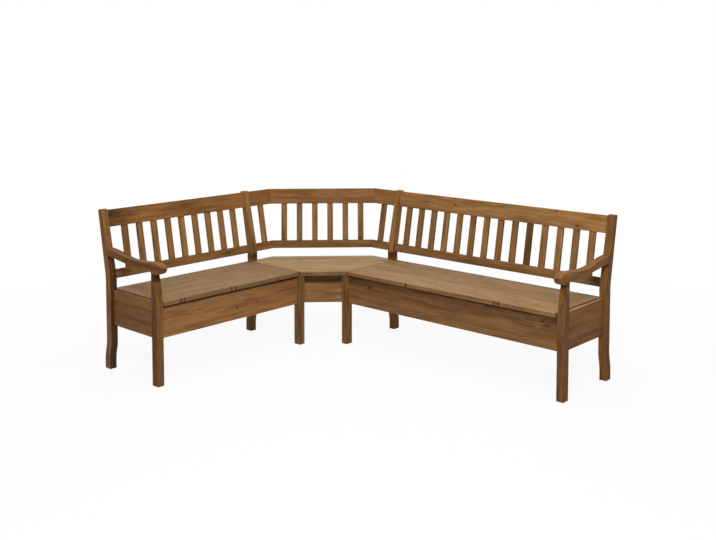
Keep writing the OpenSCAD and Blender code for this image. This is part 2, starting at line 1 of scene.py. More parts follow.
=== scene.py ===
import math

import bpy
import numpy as np
from mathutils import Matrix, Vector


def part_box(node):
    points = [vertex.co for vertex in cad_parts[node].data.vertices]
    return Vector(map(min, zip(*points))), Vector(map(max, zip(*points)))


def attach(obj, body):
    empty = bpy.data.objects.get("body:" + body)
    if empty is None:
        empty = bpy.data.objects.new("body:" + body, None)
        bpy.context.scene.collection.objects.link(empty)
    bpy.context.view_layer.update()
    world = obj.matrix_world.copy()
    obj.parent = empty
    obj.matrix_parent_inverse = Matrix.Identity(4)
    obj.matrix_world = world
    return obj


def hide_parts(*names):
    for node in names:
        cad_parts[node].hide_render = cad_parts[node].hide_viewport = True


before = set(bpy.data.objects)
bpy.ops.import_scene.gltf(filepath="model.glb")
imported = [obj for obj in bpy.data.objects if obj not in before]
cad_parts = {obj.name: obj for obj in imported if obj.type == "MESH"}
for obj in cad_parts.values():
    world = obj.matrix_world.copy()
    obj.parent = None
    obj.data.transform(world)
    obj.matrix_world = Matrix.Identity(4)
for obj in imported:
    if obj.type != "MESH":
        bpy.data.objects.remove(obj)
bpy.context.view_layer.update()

# --------
# The four back posts. Each is one length of pine sawn to a curve: the foot kicks out behind, the
# middle is straight, and the upper part leans back and tapers. The long edges are rounded over.

WINGS = ("short", "long")
POST_WIDTH = 0.042
POST_DEPTH = 0.050
POST_TIP_DEPTH = 0.036
POST_HEIGHT = 0.903
POST_ROUNDING = 0.0028
TIP_CHAMFER = 0.006
FOOT_KICK = 0.018
KICK_LOW = 0.050
KICK_HIGH = 0.165
KICK_STEPS = 10
LEAN_START = 0.525
LEAN = math.radians(10)
BEND_HALF = 0.025
BEND_STEPS = 6
SEAT_SETBACK = 0.012
# Heights at which the painted shade on a back post changes: at the armrest, and between the lid and the lower
# rail
ARM_JOINT = (0.652, 0.684)
STUB = (0.430, 0.470)
STUB_MIDDLE = 0.488
STUB_SHADE = 0.020
SMOOTH_ANGLE = math.radians(35)
# Points as near as this to the end or the top of a piece belong to that end or top
SKIN = 0.0008
NEAR = 0.001
OUT_OF_REACH = -9.0

# The wings are worked out in a frame whose origin is the room corner behind the bench: X runs along the
# wing and -Y points to its front. The short wing is the mirror image of the long one.
ROOM_CORNER = Vector((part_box("short_hinge_strip")[0].x - SEAT_SETBACK,
                      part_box("long_hinge_strip")[1].y + SEAT_SETBACK, 0))
MIRROR = Matrix(((0, -1, 0, 0), (-1, 0, 0, 0), (0, 0, 1, 0), (0, 0, 0, 1)))
WING_FRAME = {"long": Matrix.Translation(ROOM_CORNER), "short": Matrix.Translation(ROOM_CORNER) @ MIRROR}
ALONG, ACROSS, UP = Vector((1, 0, 0)), Vector((0, -1, 0)), Vector((0, 0, 1))


def span(node):
    """Where a piece of a wing starts and ends along that wing, from the room corner."""
    low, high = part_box(node)
    if node.startswith("long"):
        return low.x - ROOM_CORNER.x, high.x - ROOM_CORNER.x
    return ROOM_CORNER.y - high.y, ROOM_CORNER.y - low.y


def take(*objects):
    """Selects these objects only, with the first one active."""
    bpy.ops.object.select_all(action="DESELECT")
    for obj in objects:
        obj.select_set(True)
    bpy.context.view_layer.objects.active = objects[0]


def edit(obj, kind="EDGE", action="DESELECT"):
    """Opens an object in edit mode, with nothing in it selected or with all of it."""
    take(obj)
    bpy.ops.object.mode_set(mode="EDIT")
    bpy.ops.mesh.select_mode(type=kind)
    bpy.ops.mesh.select_all(action=action)


def close():
    bpy.ops.object.mode_set(mode="OBJECT")


def stand(obj, place=Matrix.Identity(4)):
    """Moves a piece from its own frame to the next one, and leaves the object at the origin."""
    take(obj)
    obj.matrix_world = place @ obj.matrix_world
    bpy.ops.object.transform_apply()
    edit(obj, action="SELECT")
    bpy.ops.mesh.normals_make_consistent()
    close()
    return obj


def start_from(name, middle, size, turn=(0, 0, 0), add=bpy.ops.mesh.primitive_plane_add):
    """Adds a square or a cube, stretches it to its size and leaves it open with all of it selected."""
    add(size=1, location=middle, rotation=turn)
    obj = bpy.context.object
    obj.name = name
    edit(obj, "FACE", "SELECT")
    bpy.ops.transform.resize(value=size, center_override=middle)
    return obj


def grow(name, stations, turn=(0, 0, 0)):
    """Draws a bar out from one flat face. A station is the middle and the size of its section."""
    (middle, size), *later = [(Vector(centre), Vector(section)) for centre, section in stations]
    bar = start_from(name, middle, size, turn)
    for centre, section in later:
        bpy.ops.mesh.extrude_region_move(TRANSFORM_OT_translate={"value": centre - middle})
        bpy.ops.transform.resize(value=[b / a if a else 1 for a, b in zip(size, section)],
                                 center_override=centre)
        middle, size = centre, section
    close()
    return stand(bar)


def points_of(obj):
    found = np.empty(len(obj.data.vertices) * 3)
    obj.data.vertices.foreach_get("co", found)
    return found.reshape(-1, 3)


def ease(obj, width, segments=3, spare=None, only=None):
    """Rounds the sharp edges over, except those with both ends where spare() says, or rounds over only
    the edges with both ends where only() says."""
    edit(obj)
    if not only:
        bpy.ops.mesh.edges_select_sharp(sharpness=SMOOTH_ANGLE)
    close()
    if spare or only:
        inside = (spare or only)(points_of(obj))
        for edge in obj.data.edges:
            if inside[list(edge.vertices)].all():
                edge.select = bool(only)
    bpy.ops.object.mode_set(mode="EDIT")
    bpy.ops.mesh.bevel(offset=width, segments=segments, clamp_overlap=True)
    close()
    return obj


def butted(axis):
    """For ease(): spares the two ends of a board that stand against other pieces."""
    axis = np.array(Vector(axis).normalized())

    def at_an_end(points):
        along = points @ axis
        return (along < along.min() + SKIN) | (along > along.max() - SKIN)

    return at_an_end


def copy_of(obj, name):
    take(obj)
    bpy.ops.object.duplicate()
    twin = bpy.context.object
    twin.name = name
    return twin


def store(obj, name, values):
    """Stores a vector for each point of an object, for its shader to read."""
    layer = obj.data.attributes.get(name) or obj.data.attributes.new(name, "FLOAT_VECTOR", "POINT")
    layer.data.foreach_set("vector", np.asarray(values, dtype=np.float32).ravel())


def lay_board(obj, places, half=None):
    """Stores where each point lies in its board: along the grain, across it and through it."""
    if half is None:
        middle = (places.min(0) + places.max(0)) / 2
        half = places.max(0) - middle
        places = places - middle
    store(obj, "board", places)
    store(obj, "half", np.tile(half, (len(places), 1)))
    return obj


def straight_grain(obj, along, across):
    """Lays straight grain through a piece."""
    along, across = Vector(along).normalized(), Vector(across).normalized()
    return lay_board(obj, points_of(obj) @ np.array([along, across, along.cross(across)]).T)


def paint_shade_and_stain(obj, *planes, at=None):
    """Stores up to three planes near which the colour is darkened, mostly painted shade under and beside other
    parts and once a darker stain at a rail's end: a point on each, the way into the wood, its reach.
    """
    points = points_of(obj) if at is None else at
    near = np.full((len(points), 3), OUT_OF_REACH)
    for i, (point, inward, reach) in enumerate(planes):
        near[:, i] = 1 - (points - np.array(point)) @ np.array(Vector(inward)) / reach
    store(obj, "shade_stain_planes", near)
    return obj


def cut_from(obj, plank, tone=0.0, warmth=0.0, top_tone=0.0, painted_foot_light=0.0):
    """Says which plank a piece is cut from, how much paler than most it is, how much redder, by how much its
    top edge is paler, and by how much its foot is paler: painted light, for feet that stand in shade."""
    cuts = np.tile((float(plank), tone, warmth), (len(obj.data.vertices), 1))
    heights = points_of(obj)[:, 2]
    cuts[heights > heights.max() - SKIN] += (0, top_tone, -top_tone / 2)
    cuts[heights < heights.max() / 4, 1] += painted_foot_light
    store(obj, "plank", cuts)
    return obj


# The wood is one finish in several tones: pine, stained brown and waxed. Its figure and the wear of its
# edges are shared node groups. They read where a point lies in its board, so the grain follows each piece.


def arithmetic(operation):
    return lambda wire, other: calc(operation, wire, other)


class Wire:
    """The output of a shader node. Arithmetic with wires adds the nodes that work it out."""

    __add__, __sub__ = arithmetic("ADD"), arithmetic("SUBTRACT")
    __mul__, __truediv__ = arithmetic("MULTIPLY"), arithmetic("DIVIDE")

    def __init__(self, socket):
        self.socket = socket


def link(target, value):
    if isinstance(value, Wire):
        target.id_data.links.new(value.socket, target)
    else:
        target.default_value = value


def add_node(kind, given, **settings):
    """Adds a node beside the nodes that its wires come from, and returns wires from its outputs.
    given says what goes into which input."""
    tree = next(value.socket.id_data for value in given.values() if isinstance(value, Wire))
    node = tree.nodes.new("ShaderNode" + kind)
    for name, value in settings.items():
        setattr(node, name, value)
    for name, value in given.items():
        link(node.inputs[name], value)
    return [Wire(socket) for socket in node.outputs]


def calc(operation, *values, clamp=False):
    return add_node("Math", dict(enumerate(values)), operation=operation, use_clamp=clamp)[0]


def vector_calc(operation, *values):
    vector, value = add_node("VectorMath", dict(enumerate(values)), operation=operation)
    return value if operation == "LENGTH" else vector


def smooth_step(value, start, end):
    """0 at start and 1 at end, with a smooth change between them."""
    return add_node("MapRange", {"Value": value, "From Min": start, "From Max": end},
                    interpolation_type="SMOOTHSTEP")[0]


def split(vector):
    return add_node("SeparateXYZ", {0: vector})


def join(*values):
    return add_node("CombineXYZ", dict(enumerate(values)))[0]


def noise(vector, stretch, detail=2.0, roughness=0.5):
    vector = vector_calc("MULTIPLY", vector, stretch)
    return add_node("TexNoise", {"Vector": vector, "Scale": 1.0, "Detail": detail, "Roughness": roughness})[0]


def mix_colour(factor, first, second, blend="MIX"):
    return add_node("Mix", {0: factor, 6: first, 7: second}, data_type="RGBA", blend_type=blend)[2]


def named(wires):
    return {wire.socket.name: wire for wire in wires}


def new_group(name, inputs):
    group = bpy.data.node_groups.new(name, "ShaderNodeTree")
    for title, value in inputs.items():
        kind = "NodeSocketVector" if value is None else "NodeSocketFloat"
        made = group.interface.new_socket(title, in_out="INPUT", socket_type=kind)
        if value is not None:
            made.default_value = value
    return group, named(Wire(socket) for socket in group.nodes.new("NodeGroupInput").outputs)


def give_out(group, results):
    """Makes the outputs of a group, each of which is one number."""
    for title in results:
        group.interface.new_socket(title, in_out="OUTPUT", socket_type="NodeSocketFloat")
    made = group.nodes.new("NodeGroupOutput").inputs
    for title, value in results.items():
        link(made[title], value)
    return group


def place_group(group, **given):
    return named(add_node("Group", given, node_tree=group))


KNOT_PATCH = (0.31, 0.097)
KNOT_SMALLEST = 0.0035
KNOT_SPREAD = 0.006
NO_KNOT = 99.0


def pine_figure():
    """Pine cut from a log: growth rings round a pith outside the board, fibres, knots and glue joints."""
    group, given = new_group("pine figure", {"Board": None, "Plank": 0.0, "Strip": 1.0, "Ring": 0.006,
                                             "Knots": 0.4, "Nearest": NO_KNOT})
    length, width, depth = split(given["Board"])
    strip = calc("FLOOR", width / given["Strip"] + 0.5)
    across = width - strip * given["Strip"]
    dice = add_node("TexWhiteNoise", {"Vector": join(given["Plank"], strip, 0.0)}, noise_dimensions="2D")
    dice = named(dice)["Color"]
    chance = split(dice)
    place = vector_calc("ADD", join(length, across, depth),
                        vector_calc("MULTIPLY", dice, (31.0, 17.0, 23.0)))

    # Knots are columns through the board, with one chance in each patch of its face
    spread = split(place)
    cell = join(*[way / patch for way, patch in zip(spread, KNOT_PATCH)], 0.0)
    spot = add_node("TexVoronoi", {"Vector": cell, "Scale": 1.0, "Randomness": 0.9}, voronoi_dimensions="2D")
    centre, luck = split(named(spot)["Position"]), split(named(spot)["Color"])
    off = [way - middle * patch for way, middle, patch in zip(spread, centre, KNOT_PATCH)]
    radius = luck[1] * KNOT_SPREAD + KNOT_SMALLEST
    share = vector_calc("LENGTH", join(off[0] / 1.5, off[1], 0.0)) / radius
    share = share + calc("GREATER_THAN", luck[0], given["Knots"]) * NO_KNOT
    share = calc("MINIMUM", share, given["Nearest"])
    swell = calc("EXPONENT", share * share * -0.12)

    # Growth rings: pale early wood runs into dark late wood and stops there
    bend = (noise(place, (1.1, 9.0, 9.0), detail=3.0) - 0.5) * 0.036
    lean = (chance[0] - 0.5) * 0.05
    pith_y = (chance[1] - 0.5) * 0.15
    pith_z = chance[2] * 0.09 + 0.022
    out = vector_calc("LENGTH", join(across - pith_y + bend, depth + pith_z + bend * 0.6, 0.0))
    within = calc("FRACT", (out + length * lean) / given["Ring"] + swell * 1.8)

    # Fibres, broad stain and the glue joints between the strips of a panel
    fine = noise(place, (9.0, 620.0, 620.0))
    coarse = noise(place, (3.5, 130.0, 130.0), detail=3.0)
    elsewhere = vector_calc("ADD", place, (7.0, 3.0, 5.0))
    seam = given["Strip"] * 0.5 - calc("ABSOLUTE", across)
    return give_out(group, {
        "Tone": chance[0], "Warmth": chance[2],
        "Rings": calc("POWER", within, 2.2) * smooth_step(within, 1.0, 0.88),
        "Fibre": fine * 0.4 + coarse * 0.6,
        "Stain": noise(place, (2.3, 17.0, 17.0), detail=4.0, roughness=0.6),
        "Streak": noise(place, (6.5, 62.0, 62.0), detail=4.0, roughness=0.65),
        "Hue": noise(elsewhere, (3.0, 22.0, 22.0), detail=3.0),
        "Knot": smooth_step(share, 1.15, 0.75), "Knot rim": smooth_step(share, 2.4, 1.1),
        "Joint": smooth_step(seam, 0.0012, 0.0004)})


def edge_wear():
    """How near a point lies to an edge of its board, broken up by rubbing, and whether it is end grain."""
    group, given = new_group("edge wear", {"Board": None, "Half": None, "Reach": 0.006})
    room = split(vector_calc("SUBTRACT", given["Half"], vector_calc("ABSOLUTE", given["Board"])))
    small, large = calc("MINIMUM", room[0], room[1]), calc("MAXIMUM", room[0], room[1])
    middle = calc("MAXIMUM", small, calc("MINIMUM", large, room[2]))
    patchy = noise(given["Board"], (16.0, 60.0, 60.0), detail=3.0)
    return give_out(group, {
        "Edge": smooth_step(middle, given["Reach"] * (patchy * 1.6 + 0.2), 0.0),
        "End": smooth_step(room[0], 0.0025, 0.0008),
        "Butt": smooth_step(room[0], patchy * 0.010 + 0.003, 0.0)})


def placed_knot():
    """How far a point lies from one knot, counted in radii of that knot."""
    group, given = new_group("placed knot", {"Board": None, "Middle": None, "Radius": 0.006})
    off = vector_calc("MULTIPLY", vector_calc("SUBTRACT", given["Board"], given["Middle"]), (0.6, 1.0, 0.0))
    return give_out(group, {"Share": vector_calc("LENGTH", off) / given["Radius"]})


PINE_FIGURE, EDGE_WEAR, PLACED_KNOT = pine_figure(), edge_wear(), placed_knot()


def new_material(name):
    material = bpy.data.materials.new(name)
    material.use_nodes = True
    tree = material.node_tree
    return material, tree, tree.nodes["Principled BSDF"].inputs


def read(tree, name):
    node = tree.nodes.new("ShaderNodeAttribute")
    node.attribute_name = name
    return Wire(node.outputs["Vector"])


def add_relief(shader, height, strength, distance):
    bump = add_node("Bump", {"Height": height, "Strength": strength, "Distance": distance})
    link(shader["Normal"], bump[0])


TONE_STEP = 0.3
WARMTH_STEP = 0.7
# The top of a seat is paler and greyer, partly bleached and partly a painted sheen: not at all below the first
# depth, and fully above the second
BLEACH_AND_SHEEN_DEPTH = (0.0025, 0.0005)
# What each effect multiplies the colour of the wood by
TINTS = {"warm": (1.12, 0.9, 0.7), "knot rim": (0.80, 0.62, 0.45), "knot": (0.38, 0.29, 0.21),
         "joint": (0.4, 0.34, 0.3), "bleach_and_sheen": (1.04, 1.15, 1.27), "shade_stain_tint": (0.22, 0.17, 0.14),
         "butt": (0.36, 0.3, 0.25), "end": (0.5, 0.43, 0.37), "worn": (1.6, 1.5, 1.4)}


def pine(name, tones, strip=1.0, ring=0.0065, knots=0.4, worn=0.3, roughness=0.5, contrast=0.32,
         stains=2.0, streaks=2.2, ends=0.45, butts=0.45, variety=0.12, mixed=0.4, bleach_and_sheen=0.0, placed=()):
    """Pine in two tones, the pale early wood's and the deep late wood's. placed lists knots as (along the
    board, across it, radius)."""
    material, tree, shader = new_material(name)
    board, half = read(tree, "board"), read(tree, "half")
    plank, tone, warmth = split(read(tree, "plank"))
    nearest = NO_KNOT
    for *middle, radius in placed:
        share = place_group(PLACED_KNOT, Board=board, Middle=(*middle, 0), Radius=radius)["Share"]
        nearest = calc("MINIMUM", share, nearest)
    cut = place_group(PINE_FIGURE, Board=board, Plank=plank, Strip=strip, Ring=ring, Knots=knots,
                      Nearest=nearest)
    rub = place_group(EDGE_WEAR, Board=board, Half=half)
    depth = cut["Rings"] * contrast + 0.3
    for title, share in (("Fibre", 1.4), ("Stain", stains), ("Streak", streaks)):
        depth = depth + (cut[title] - 0.5) * share
    bright = (cut["Tone"] - 0.5) * (2 * variety) + 1.0 + tone * TONE_STEP
    colour = mix_colour(depth, *[(*tone, 1.0) for tone in tones])
    colour = mix_colour(1.0, colour, join(bright, bright, bright), "MULTIPLY")
    warm = cut["Warmth"] * mixed + warmth * WARMTH_STEP
    warm = calc("MULTIPLY_ADD", cut["Hue"] - 0.5, 2.4, warm, clamp=True)
    above = split(board)[2] + split(half)[2]
    # Painted shade: the colour darkens near the stored planes, where other parts cast shadow or meet; at one
    # rail's end it is a darker stain
    nearness = split(read(tree, "shade_stain_planes"))
    near = calc("MAXIMUM", calc("MAXIMUM", nearness[0], nearness[1]), nearness[2])
    near = near + (cut["Streak"] - 0.5) * smooth_step(near, 0.0, 0.4)
    for effect, mask, strength in (
            ("warm", warm, 1.0), ("knot rim", cut["Knot rim"], 0.6), ("knot", cut["Knot"], 0.8),
            ("joint", cut["Joint"], 0.5), ("bleach_and_sheen", smooth_step(above, *BLEACH_AND_SHEEN_DEPTH), bleach_and_sheen),
            ("shade_stain_tint", smooth_step(near, 0.0, 1.0), 0.95), ("butt", rub["Butt"], butts),
            ("end", rub["End"], ends), ("worn", rub["Edge"], worn)):
        colour = mix_colour(mask * strength, colour, (*TINTS[effect], 1.0), "MULTIPLY")
    link(shader["Base Color"], colour)
    rough = cut["Fibre"] * 0.25 + roughness
    link(shader["Roughness"], calc("MULTIPLY_ADD", rub["Edge"], -0.1, rough, clamp=True))
    link(shader["Specular IOR Level"], 0.16)
    height = cut["Fibre"] + cut["Rings"] * 0.5 + cut["Joint"] * -1.2 + cut["Knot"] * -0.3
    add_relief(shader, height, strength=0.4, distance=0.0006)
    return material


FRAME_TONES = ((0.322, 0.173, 0.0594), (0.100, 0.045, 0.0125))
POST_PINE = pine("stained post pine", FRAME_TONES, knots=0.1, butts=0.0)


def coat(obj, material):
    obj.data.materials.clear()
    obj.data.materials.append(material)


def dress(obj, material, slot, *nodes, body="bench_frame"):
    """Finishes a piece: smooth rounded edges between flat faces, its finish, its body and its nodes."""
    take(obj)
    bpy.ops.object.shade_smooth_by_angle(angle=SMOOTH_ANGLE)
    bpy.ops.object.modifier_add(type="WEIGHTED_NORMAL")
    obj.modifiers[-1].keep_sharp = True
    bpy.ops.object.modifier_apply(modifier=obj.modifiers[-1].name)
    coat(obj, material)
    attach(obj, body)
    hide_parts(*nodes)


def set_in_wing(master, node, plank, material, slot, *shade, at=None):
    """Copies a piece to the place of its node along the wing, and cuts the copy from its own plank."""
    start, end = span(node)
    one = paint_shade_and_stain(copy_of(master, node + "_wood"), *shade, at=at)
    stand(one, WING_FRAME[node.split("_")[0]] @ Matrix.Translation(((start + end) / 2, 0, 0)))
    cut_from(one, *plank)
    dress(one, material, slot, node)


def back_of_post(z):
    """How far the back face of a post stands behind the back plane."""
    if z < KICK_HIGH:
        share = max(0.0, (z - KICK_LOW) / (KICK_HIGH - KICK_LOW))
        return FOOT_KICK * (1 + math.cos(math.pi * share)) / 2
    rise = z - LEAN_START
    if rise < -BEND_HALF:
        return 0.0
    if rise > BEND_HALF:
        return math.tan(LEAN) * rise
    return math.tan(LEAN) * (rise + BEND_HALF) ** 2 / (4 * BEND_HALF)


def depth_of_post(z):
    return POST_DEPTH - (POST_DEPTH - POST_TIP_DEPTH) * max(0.0, z - LEAN_START) / (POST_HEIGHT - LEAN_START)


def post_section(z, chamfer=0.0):
    depth = depth_of_post(z)
    return (0, back_of_post(z) - depth / 2, z + chamfer), (POST_WIDTH, depth - 2 * chamfer, 1)


chamfer_base = POST_HEIGHT - TIP_CHAMFER
levels = (0.0, *np.linspace(KICK_LOW, KICK_HIGH, KICK_STEPS), *STUB,
          *np.linspace(LEAN_START - BEND_HALF, LEAN_START + BEND_HALF, BEND_STEPS), *ARM_JOINT, chamfer_base)
back_post = grow("back_post", [post_section(z) for z in levels] + [post_section(chamfer_base, TIP_CHAMFER)])
ease(back_post, POST_ROUNDING)
places = points_of(back_post)
heights = np.clip(places[:, 2], 0, chamfer_base)
places[:, 1] -= [back_of_post(z) - depth_of_post(z) / 2 for z in heights]
places[:, 2] -= POST_HEIGHT / 2
lay_board(back_post, places[:, (2, 1, 0)], (POST_HEIGHT / 2, POST_DEPTH / 2, POST_WIDTH / 2))
# The outer posts have painted shadow in front below the armrests, but not above them. The inner ones have
# painted shade all round between the seat and the lower rail, and feet lightened with painted light under the
# chests
below_arm, below_rest = points_of(back_post), points_of(back_post)
below_arm[:, 1] = places[:, 1] + (below_arm[:, 2] > ARM_JOINT[0] + NEAR)
below_rest[:, 2] = abs(below_rest[:, 2] - STUB_MIDDLE)
BACK_POSTS = {
    "short_outer": ((21, 0.1, 0.4), below_arm, ((0, -POST_DEPTH / 2, 0), -ACROSS, 0.009)),
    "short_inner": ((22, 0.05, -0.4, 0.0, 1.3), below_rest, ((0, 0, 0.007), UP, STUB_SHADE)),
    "long_inner": ((23, 0.5, 0.2, 0.0, 0.8), below_rest, ((0, 0, 0.013), UP, STUB_SHADE)),
    "long_outer": ((24, -0.95, 1.0), below_arm,
                   ((0, -POST_DEPTH / 2, ARM_JOINT[0]), -ACROSS - UP * 0.3, 0.020))}
for where, (plank, points, shade) in BACK_POSTS.items():
    set_in_wing(back_post, where + "_back_post", plank, POST_PINE, "post_wood", shade, at=points)
bpy.data.objects.remove(back_post)

# --------
# The four front posts. The two outer ones run up to the armrests and are cut back in a curve above
# the seat. The two inner ones end under the corner seat. All are pine, with rounded edges.

BENCH_DEPTH = 0.484
POST_REAR = BENCH_DEPTH - POST_DEPTH
ARM_SEAT_Z = 0.600
SWEEP = 0.029
SWEEP_START = 0.440
SWEEP_STEPS = 12
SWEEP_POWER = 1.4


def front_section(z):
    share = max(0.0, (z - SWEEP_START) / (ARM_SEAT_Z - SWEEP_START))
    front = BENCH_DEPTH - SWEEP * share ** SWEEP_POWER
    return (0, -(front + POST_REAR) / 2, z), (POST_WIDTH, front - POST_REAR, 1)


sweep = np.linspace(SWEEP_START, ARM_SEAT_Z, SWEEP_STEPS)
outer_post = grow("outer_front_post", [front_section(z) for z in [0.0, *sweep]])
inner_post = grow("inner_front_post", [front_section(z) for z in (0.0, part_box("long_inner_front_post")[1].z)])
for master in (outer_post, inner_post):
    ease(master, POST_ROUNDING, spare=lambda p: p[:, 2] > p[:, 2].max() - NEAR)
    straight_grain(master, UP, ACROSS)
# Each post: its plank and tones, the painted shadow under its armrest, and the painted shade on an outer face
FRONT_POSTS = {
    "short_outer": (outer_post, (31, -1.35, 1.0), ((0, 0, ARM_SEAT_Z - 0.023), -UP, 0.024),
                    ((POST_WIDTH / 2 + 0.0065, 0, 0), -ALONG, 0.010)),
    "short_inner": (inner_post, (32, -0.85, 0.0)), "long_inner": (inner_post, (33, -0.8, 0.3)),
    "long_outer": (outer_post, (34, -1.45, 0.8), ((0, 0, ARM_SEAT_Z), -UP, 0.008))}
for where, (master, plank, *shade) in FRONT_POSTS.items():
    set_in_wing(master, where + "_front_post", plank, POST_PINE, "post_wood", *shade)
bpy.data.objects.remove(outer_post)
bpy.data.objects.remove(inner_post)

# --------
# The rails of the backrest: a deep top rail and a narrow lower rail between the posts of each wing,
# carried round the corner by two returns and a diagonal, glued at the mitres. They lean with the posts.

SEAT_HEIGHT = 0.456
REST_SETBACK = 0.023
RAIL_THICKNESS = 0.024
RAIL_ROUNDING = 0.0025
TOP_RAIL = 0.098
POST_PROUD = 0.006
LOWER_RAIL = 0.051
LOWER_RAIL_RISE = 0.057
CORNER_CUT = 0.475
MITRE = math.radians(22.5)
SLOPE = Matrix.Translation((0, -REST_SETBACK, LEAN_START)) @ Matrix.Rotation(-LEAN, 4, "X")
EIGHTH_TURN = Matrix.Rotation(math.radians(45), 4, "Z")
DIAGONAL = Matrix.Translation((CORNER_CUT / 2, -CORNER_CUT / 2, 0)) @ EIGHTH_TURN
RAIL_KNOTS = ((-0.291, 0.003, 0.006), (0.420, 0.040, 0.005), (0.556, -0.030, 0.007))


def rail_pine(name, placed=()):
    return pine(name, FRAME_TONES, knots=0.0, stains=1.7, streaks=1.7, placed=placed)


REST_PINE = rail_pine("stained backrest pine")
KNOTTY_PINE = rail_pine("stained knotty rail pine", RAIL_KNOTS)

top_rail_end = (POST_HEIGHT - POST_PROUD - LEAN_START) / math.cos(LEAN)
low_rail_start = (SEAT_HEIGHT + LOWER_RAIL_RISE - LEAN_START) / math.cos(LEAN)
RAIL_SPANS = {"top": (top_rail_end - TOP_RAIL, top_rail_end),
              "lower": (low_rail_start, low_rail_start + LOWER_RAIL)}


def block(name, low, high):
    """A squared piece of wood between two corners."""
    low, high = Vector(low), Vector(high)
    wood = start_from(name, (low + high) / 2, high - low, add=bpy.ops.mesh.primitive_cube_add)
    close()
    return stand(wood)


def saw(obj, *cuts):
    """Saws off what lies beyond each plane, and closes the cuts."""
    for point, normal in cuts:
        edit(obj, action="SELECT")
        bpy.ops.mesh.bisect(plane_co=point, plane_no=normal, use_fill=True, clear_outer=True)
        close()
    return obj


CUT_SKIN = 0.0005
MITRE_LONG = (Vector((CORNER_CUT, 0, 0)), Vector((math.cos(MITRE), math.sin(MITRE), 0)))
MITRE_SHORT = (MIRROR @ MITRE_LONG[0], MIRROR.to_3x3() @ MITRE_LONG[1])


def on_cuts(*cuts):
    """For ease(): spares the sawn faces of a board."""
    return lambda points: np.any([abs((points - np.array(point)) @ np.array(normal)) < CUT_SKIN
                                  for point, normal in cuts], axis=0)


RAIL_PLANKS = {"short_top": (41, -0.2, 0.7), "long_top": (42, 0.65, 0.05),
               "diagonal_top": (43, -0.45, 0.75), "short_return_top": (44, -0.3, 0.6),
               "long_return_top": (45, -0.1, 0.5), "short_lower": (46, -1.05, 0.0),
               "long_lower": (47, -0.2, -0.3), "diagonal_lower": (48, -0.65, 0.75),
               "short_return_lower": (49, -0.5, 0.5), "long_return_lower": (50, -0.3, 0.3)}
# How far past its outer end the dark of a rail starts, and over what length it fades: a painted shadow of the
# armrest on the long lower rail, and a darker stain on the short top rail
RAIL_SHADE_AND_STAIN = {"long_lower": (-0.010, 0.060), "short_top": (0.070, 0.340)}


def rail_block(rail, start, end, low, high):
    thick = RAIL_THICKNESS / 2
    return block(rail + "_rail_wood", (start, -thick, low), (end, thick, high))


def finish_rail(bar, rail, spare, along, across, place):
    straight_grain(ease(bar, RAIL_ROUNDING, spare=spare), along, across)
    if rail in RAIL_SHADE_AND_STAIN:
        past_end, reach = RAIL_SHADE_AND_STAIN[rail]
        paint_shade_and_stain(bar, ((span(rail + "_rail")[1] + past_end, 0, 0), -ALONG, reach))
    cut_from(stand(bar, place), *RAIL_PLANKS[rail])
    dress(bar, KNOTTY_PINE if rail == "long_top" else REST_PINE, "rest_wood", rail + "_rail")


for level, heights in RAIL_SPANS.items():
    for wing in WINGS:
        rail = wing + "_" + level
        bar = rail_block(rail, *span(rail + "_rail"), *heights)
        finish_rail(bar, rail, butted(ALONG), ALONG, UP, WING_FRAME[wing] @ SLOPE)

        # The return stops at the mitre, where its grain turns to the diagonal's
        rail = wing + "_return_" + level
        end = span(rail + "_rail")[1]
        bar = stand(rail_block(rail, 0, end, *heights), SLOPE)
        saw(bar, (MITRE_LONG[0], -MITRE_LONG[1]))
        finish_rail(bar, rail, on_cuts(MITRE_LONG, (end * ALONG, ALONG)), ALONG, SLOPE.to_3x3() @ UP,
                    WING_FRAME[wing])
    rail = "diagonal_" + level
    bar = stand(rail_block(rail, -CORNER_CUT, CORNER_CUT, *heights), DIAGONAL @ SLOPE)
    saw(bar, MITRE_LONG, MITRE_SHORT)
    finish_rail(bar, rail, on_cuts(MITRE_LONG, MITRE_SHORT), DIAGONAL.to_3x3() @ ALONG,
                (DIAGONAL @ SLOPE).to_3x3() @ UP, WING_FRAME["long"])

# --------
# The slats of the backrest. They are flat pine bars with tenons in both rails, evenly spaced between
# the posts, and each is sawn from a plank of its own.

SLAT_WIDTH = 0.038
SLAT_THICKNESS = 0.018
SLAT_ROUNDING = 0.0022
SLAT_PITCH = 0.100
CORNER_PITCH = 0.101
RETURN_SLAT_SHIFT = 0.008
SLAT_PINE = pine("stained slat pine", FRAME_TONES, knots=0.15, variety=0.2)

low, high = RAIL_SPANS["lower"][1], RAIL_SPANS["top"][0]
slat = block("slat", (-SLAT_WIDTH / 2, -SLAT_THICKNESS / 2, low), (SLAT_WIDTH / 2, SLAT_THICKNESS / 2, high))
ease(slat, SLAT_ROUNDING, spare=butted(UP))
straight_grain(slat, UP, ALONG)
# How much paler each slat is than most, and how much redder
SLAT_CUTS = {
    "short_back_slats": ((0.9, -0.3), (-0.1, 0.3), (0.0, 0.0), (0.4, 0.3), (0.6, 0.0), (-0.5, 0.4),
                         (0.5, -0.3), (-0.6, -0.2), (-0.5, 1.4)),
    "diagonal_slats": ((0.0, -0.3), (-0.2, -0.4), (0.5, 0.2), (-0.3, -0.3), (0.1, -0.3), (-0.2, -0.3)),
    "long_back_slats": ((-1.1, 0.1), (-1.0, 0.0), (0.0, -0.2), (0.4, -0.4), (0.1, 0.1), (0.0, 0.1),
                        (-0.6, 0.0), (-0.5, 0.9), (-0.4, 0.4), (-1.6, 1.2), (0.1, 0.1), (0.5, -0.6),
                        (0.1, -0.3), (1.1, 0.0)),
    "return_slats": ((0.9, -0.6), (-0.9, 0.0))}


